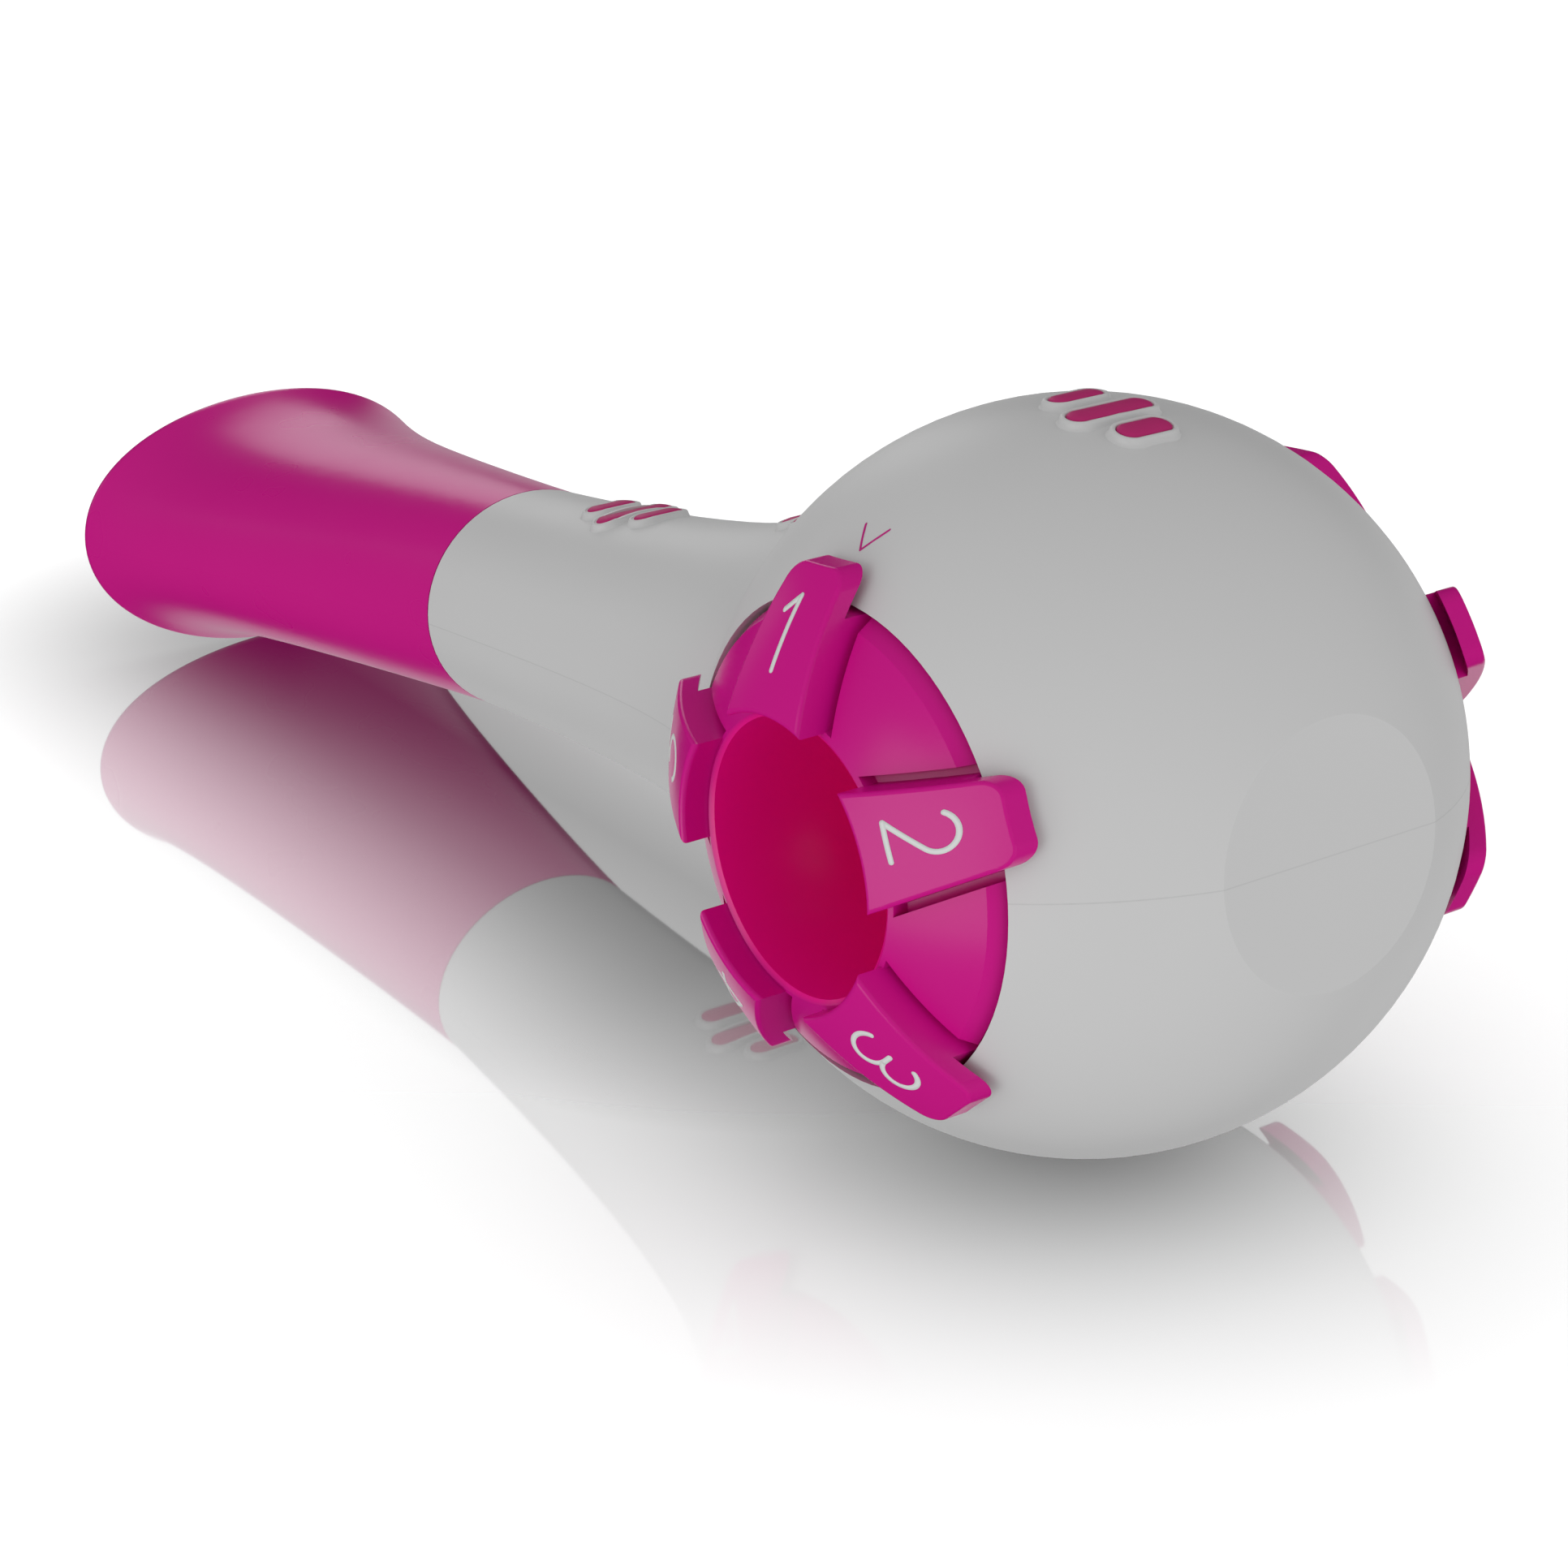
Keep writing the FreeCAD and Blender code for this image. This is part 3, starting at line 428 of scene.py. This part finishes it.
CHEVRON_AT = 22.2
CHEVRON_TALL = 1.42
CHEVRON_WIDE = 1.44
for side in SETTINGS:
    mesh = bmesh.new()
    place = dial_surface(side, 0, CHEVRON_AT, HEAD_RADIUS)
    for number, sign in enumerate((1, -1)):
        path = line((0, 0), (CHEVRON_WIDE * sign, CHEVRON_TALL))
        ribbon(mesh, path, CHEVRON_HALF, number * STROKE_LIFT, place)
    new_piece(f"{side}_index_mark", mesh, MAGENTA_INK, "housing")


# Grip pads and the soft rims around them


def eased(along, far):
    """Half size of the stem at a distance from the ball's centre."""
    on_ball = math.sqrt(HEAD_RADIUS ** 2 - NECK_START ** 2)
    drop = on_ball - far
    reach = NECK_EASE * drop * on_ball / NECK_START
    return far + drop / (1 + (along - NECK_START) / reach) ** NECK_EASE


def housing_height(x, y):
    """How far the housing's skin lies above its middle plane."""
    if x < NECK_START:
        return math.sqrt(HEAD_RADIUS ** 2 - x ** 2 - y ** 2)
    return eased(x, STEM_HIGH) * math.sqrt(1 - (y / eased(x, STEM_WIDE)) ** 2)


SLOPE_STEP = 0.05


def over_housing(x, y, height, facing):
    """A point over the housing's skin, this far out along the skin's own normal."""
    slope_x = (housing_height(x + SLOPE_STEP, y) - housing_height(x - SLOPE_STEP, y)) / (2 * SLOPE_STEP)
    slope_y = (housing_height(x, y + SLOPE_STEP) - housing_height(x, y - SLOPE_STEP)) / (2 * SLOPE_STEP)
    normal = Vector((-slope_x, -slope_y, 1)).normalized()
    spot = Vector((x, y, housing_height(x, y))) + normal * height
    return at(spot.x, spot.y, spot.z * facing)


def stadium(half_wide, half_straight, margin, steps=20):
    """The outline of a long pad with round ends, grown by the margin."""
    points = []
    radius = half_wide + margin
    for end in (1, -1):
        for step in range(steps + 1):
            angle = math.pi * step / steps
            points.append((radius * math.cos(angle) * end,
                           (half_straight + radius * math.sin(angle)) * end))
    return points


def layered_stadium(mesh, centre, long, facing, profile, filled):
    """Rings of one stadium after another, from (margin, height) steps of a profile."""
    half_wide = PAD_WIDE / 2
    half_straight = long / 2 - half_wide
    rings = []
    for margin, height in profile:
        ring = [mesh.verts.new(over_housing(centre + x, y, height, facing))
                for x, y in stadium(half_wide, half_straight, margin)]
        rings.append(ring)
    for outer, inner in zip(rings, rings[1:]):
        for index in range(len(outer)):
            following = (index + 1) % len(outer)
            mesh.faces.new((outer[index], outer[following], inner[following], inner[index]))
    if filled:
        mesh.faces.new(rings[-1])


# Cross-sections as (margin outside the pad, height over the housing)
RIM_PROFILE = [(0.9, -0.1), (0.72, 0.02), (0.6, 0.12), (0.52, 0.28), (0.46, 0.44),
               (0.36, 0.56), (0.22, 0.6), (0.1, 0.56), (0.05, 0.46), (0.04, -0.3)]
PAD_PROFILE = [(0.0, -0.5), (0.0, 0.4), (-0.03, 0.5), (-0.12, 0.58), (-0.3, 0.64),
               (-0.6, 0.68), (-0.95, 0.7)]

for group, (middle, facing) in PAD_GROUPS.items():
    pads = bmesh.new()
    rims = bmesh.new()
    for number, long in PAD_LONG.items():
        centre = middle + PAD_PITCH * number
        layered_stadium(pads, centre, long, facing, PAD_PROFILE, True)
        layered_stadium(rims, centre, long, facing, RIM_PROFILE, False)
    pad_piece = new_piece(f"{group}_inlay", pads, GRIP, "housing")
    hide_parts(group)
    new_piece(f"{group}_rims", rims, WHITE_SHELL, "housing")


# Stage: floor, light and camera

FLOOR_HALF = 2.0
FLOOR_WHITE = 0.15
FLOOR_GLOSS = 0.04
FLOOR_SUN = 23.0
FLOOR_SUN_ANGLE = 160
SURROUND_RADIUS = 3.0
FLOOR_SURROUND = 1.0
WORLD_WHITE = 0.60

# The floor's colour holds a painted shadow, darker in a soft band under the stem: where the band starts
# and ends along X, and how far it reaches from its middle line, in metres
PAINTED_SHADOW_FROM = -0.012
PAINTED_SHADOW_TO = 0.078
PAINTED_SHADOW_REACH = 0.038

# The floor mirrors the trainer behind and under it, and less and less towards the front. The two
# limits are distances along TO_THE_BACK, in metres.
MIRROR_SHARE = 0.36
TO_THE_BACK = (0.807, -0.592, 0.0)
MIRROR_GONE = -0.086
MIRROR_FULL = -0.034


def floor_material():
    """A pale glossy floor with a painted shadow under the stem, whose mirror image of the trainer fades
    out towards the front.
    """
    material = bpy.data.materials.new("pale_floor")
    material.use_nodes = True
    tree = material.node_tree
    tree.nodes.clear()
    output = tree.nodes.new("ShaderNodeOutputMaterial")
    plain = tree.nodes.new("ShaderNodeBsdfDiffuse")
    mirror = tree.nodes.new("ShaderNodeBsdfGlossy")
    mirror.inputs["Color"].default_value = (1, 1, 1, 1)
    mirror.inputs["Roughness"].default_value = FLOOR_GLOSS

    place = tree.nodes.new("ShaderNodeTexCoord")
    depth = tree.nodes.new("ShaderNodeVectorMath")
    depth.operation = "DOT_PRODUCT"
    depth.inputs[1].default_value = TO_THE_BACK
    tree.links.new(place.outputs["Object"], depth.inputs[0])

    # Painted shadow: the plain colour darkens towards the line under the stem, in place of the stem's
    # soft shadow.
    split = tree.nodes.new("ShaderNodeSeparateXYZ")
    tree.links.new(place.outputs["Object"], split.inputs["Vector"])
    along = tree.nodes.new("ShaderNodeClamp")
    along.inputs["Min"].default_value = PAINTED_SHADOW_FROM
    along.inputs["Max"].default_value = PAINTED_SHADOW_TO
    tree.links.new(split.outputs["X"], along.inputs["Value"])
    nearest = tree.nodes.new("ShaderNodeCombineXYZ")
    tree.links.new(along.outputs["Result"], nearest.inputs["X"])
    away = tree.nodes.new("ShaderNodeVectorMath")
    away.operation = "DISTANCE"
    tree.links.new(place.outputs["Object"], away.inputs[0])
    tree.links.new(nearest.outputs["Vector"], away.inputs[1])
    shade = tree.nodes.new("ShaderNodeMapRange")
    shade.inputs["From Max"].default_value = PAINTED_SHADOW_REACH
    shade.inputs["To Max"].default_value = FLOOR_WHITE
    tree.links.new(away.outputs["Value"], shade.inputs["Value"])
    tree.links.new(shade.outputs["Result"], plain.inputs["Color"])

    share = tree.nodes.new("ShaderNodeMapRange")
    share.inputs["From Min"].default_value = MIRROR_GONE
    share.inputs["From Max"].default_value = MIRROR_FULL
    share.inputs["To Max"].default_value = MIRROR_SHARE
    tree.links.new(depth.outputs["Value"], share.inputs["Value"])
    surface = tree.nodes.new("ShaderNodeMixShader")
    tree.links.new(share.outputs["Result"], surface.inputs["Fac"])
    tree.links.new(plain.outputs["BSDF"], surface.inputs[1])
    tree.links.new(mirror.outputs["BSDF"], surface.inputs[2])
    tree.links.new(surface.outputs["Shader"], output.inputs["Surface"])
    return material


def link(name, mesh, material):
    """A bmesh as an object of the stage."""
    data = bpy.data.meshes.new(name)
    mesh.to_mesh(data)
    mesh.free()
    data.materials.append(material)
    thing = bpy.data.objects.new(name, data)
    bpy.context.scene.collection.objects.link(thing)
    return thing


def make_floor():
    """The floor shows to the camera and takes shadows, but neither lights nor shades the trainer."""
    mesh = bmesh.new()
    bmesh.ops.create_grid(mesh, x_segments=2, y_segments=2, size=FLOOR_HALF)
    floor = link("floor", mesh, floor_material())
    floor.visible_diffuse = False
    floor.visible_glossy = False
    floor.visible_shadow = False
    return floor


def aim_light(light, floor, state):
    """Lets a light, or a glowing mesh, reach only the floor (INCLUDE) or all but the floor (EXCLUDE)."""
    receivers = bpy.data.collections.new(f"receivers_{light.name}")
    receivers.objects.link(floor)
    receivers.collection_objects[0].light_linking.link_state = state
    light.light_linking.receiver_collection = receivers


def make_surround(floor):
    """A white surround that shows only in the floor's mirror image."""
    mesh = bmesh.new()
    bmesh.ops.create_uvsphere(mesh, u_segments=48, v_segments=24, radius=SURROUND_RADIUS)
    material = bpy.data.materials.new("floor_surround")
    material.use_nodes = True
    tree = material.node_tree
    tree.nodes.clear()
    output = tree.nodes.new("ShaderNodeOutputMaterial")
    glow = tree.nodes.new("ShaderNodeEmission")
    glow.inputs["Strength"].default_value = FLOOR_SURROUND
    tree.links.new(glow.outputs["Emission"], output.inputs["Surface"])
    material.cycles.emission_sampling = "NONE"
    surround = link("floor_surround", mesh, material)
    surround.visible_camera = False
    surround.visible_diffuse = False
    surround.visible_transmission = False
    surround.visible_volume_scatter = False
    surround.visible_shadow = False
    aim_light(surround, floor, "INCLUDE")


def make_floor_light(floor):
    """Even light from the whole sky above, for the floor only."""
    light = bpy.data.lights.new("floor_light", "SUN")
    light.energy = FLOOR_SUN
    light.angle = math.radians(FLOOR_SUN_ANGLE)
    lamp = bpy.data.objects.new("floor_light", light)
    bpy.context.scene.collection.objects.link(lamp)
    aim_light(lamp, floor, "INCLUDE")


def soft_box(name, centre, azimuth, elevation, away, half_wide, half_high, radiance, floor):
    """A rectangular studio light for the trainer, seen from a centre in this direction (degrees) and
    distance, spanning this many degrees to each side."""
    azimuth = math.radians(azimuth)
    elevation = math.radians(elevation)
    towards = Vector((math.cos(elevation) * math.cos(azimuth),
                      math.cos(elevation) * math.sin(azimuth), math.sin(elevation)))
    light = bpy.data.lights.new(name, "AREA")
    light.shape = "RECTANGLE"
    light.size = 2 * away * math.tan(math.radians(half_wide))
    light.size_y = 2 * away * math.tan(math.radians(half_high))
    light.energy = radiance * math.pi * light.size * light.size_y
    lamp = bpy.data.objects.new(name, light)
    bpy.context.scene.collection.objects.link(lamp)
    lamp.location = Vector(centre) + towards * away
    lamp.rotation_euler = towards.to_track_quat("Z", "Y").to_euler()
    aim_light(lamp, floor, "EXCLUDE")
    return lamp


def make_world():
    """Even light from all around, which no surface mirrors."""
    world = bpy.data.worlds.new("studio")
    bpy.context.scene.world = world
    world.use_nodes = True
    background = world.node_tree.nodes["Background"]
    background.inputs["Color"].default_value = (1, 1, 1, 1)
    background.inputs["Strength"].default_value = WORLD_WHITE
    world.cycles_visibility.glossy = False


# The photograph's point of view in the trainer's own axes, solved from the ball, the dial's rims,
# the stem and the lip
CAMERA_AT = at(-217.4, 178.8, 89.9)
CAMERA_AIM = at(11.7, 20.3, 1.5)
CAMERA_ROLL = 0.73
CAMERA_LENS = 86.2
SENSOR = 36.0


def make_camera():
    data = bpy.data.cameras.new("camera")
    data.sensor_width = SENSOR
    data.lens = CAMERA_LENS
    data.clip_start = 0.01
    camera = bpy.data.objects.new("camera", data)
    bpy.context.scene.collection.objects.link(camera)
    forward = (CAMERA_AIM - CAMERA_AT).normalized()
    level = forward.cross(Vector((0, 0, 1))).normalized()
    upright = level.cross(forward)
    roll = math.radians(CAMERA_ROLL)
    right = level * math.cos(roll) + upright * math.sin(roll)
    up = right.cross(forward)
    turned = Matrix((right, up, -forward)).transposed().to_4x4()
    camera.matrix_world = Matrix.Translation(CAMERA_AT) @ turned
    bpy.context.scene.camera = camera


floor = make_floor()
make_floor_light(floor)
make_surround(floor)
make_world()

# Soft boxes that light the trainer and not the floor. The fill gives no reflection, and the last
# two give nothing else.
HEAD_SIDE = (-0.053, 0.03, 0.03)
soft_box("back_box", (0.060, 0.0, 0.025), -25, 20, 0.6, 8, 15, 1.15, floor)
soft_box("side_box", HEAD_SIDE, 98, -4, 0.6, 25, 26, 0.9, floor)
soft_box("far_box", (-0.053, 0.03, 0.045), 18, 8, 1.0, 4, 10, 0.5, floor)
fill = soft_box("front_fill", (-0.053, 0.0, 0.03), 190, -5, 0.6, 24, 24, 0.75, floor)
fill.visible_glossy = False
glow = soft_box("back_glow", (0.0, 0.0, 0.03), -50, -25, 0.9, 36, 26, 0.6, floor)
glow.visible_diffuse = False
gloss = soft_box("side_gloss", HEAD_SIDE, 98, -4, 0.6, 22, 22, 0.8, floor)
gloss.visible_diffuse = False
make_camera()
bpy.context.scene.view_settings.view_transform = "Standard"
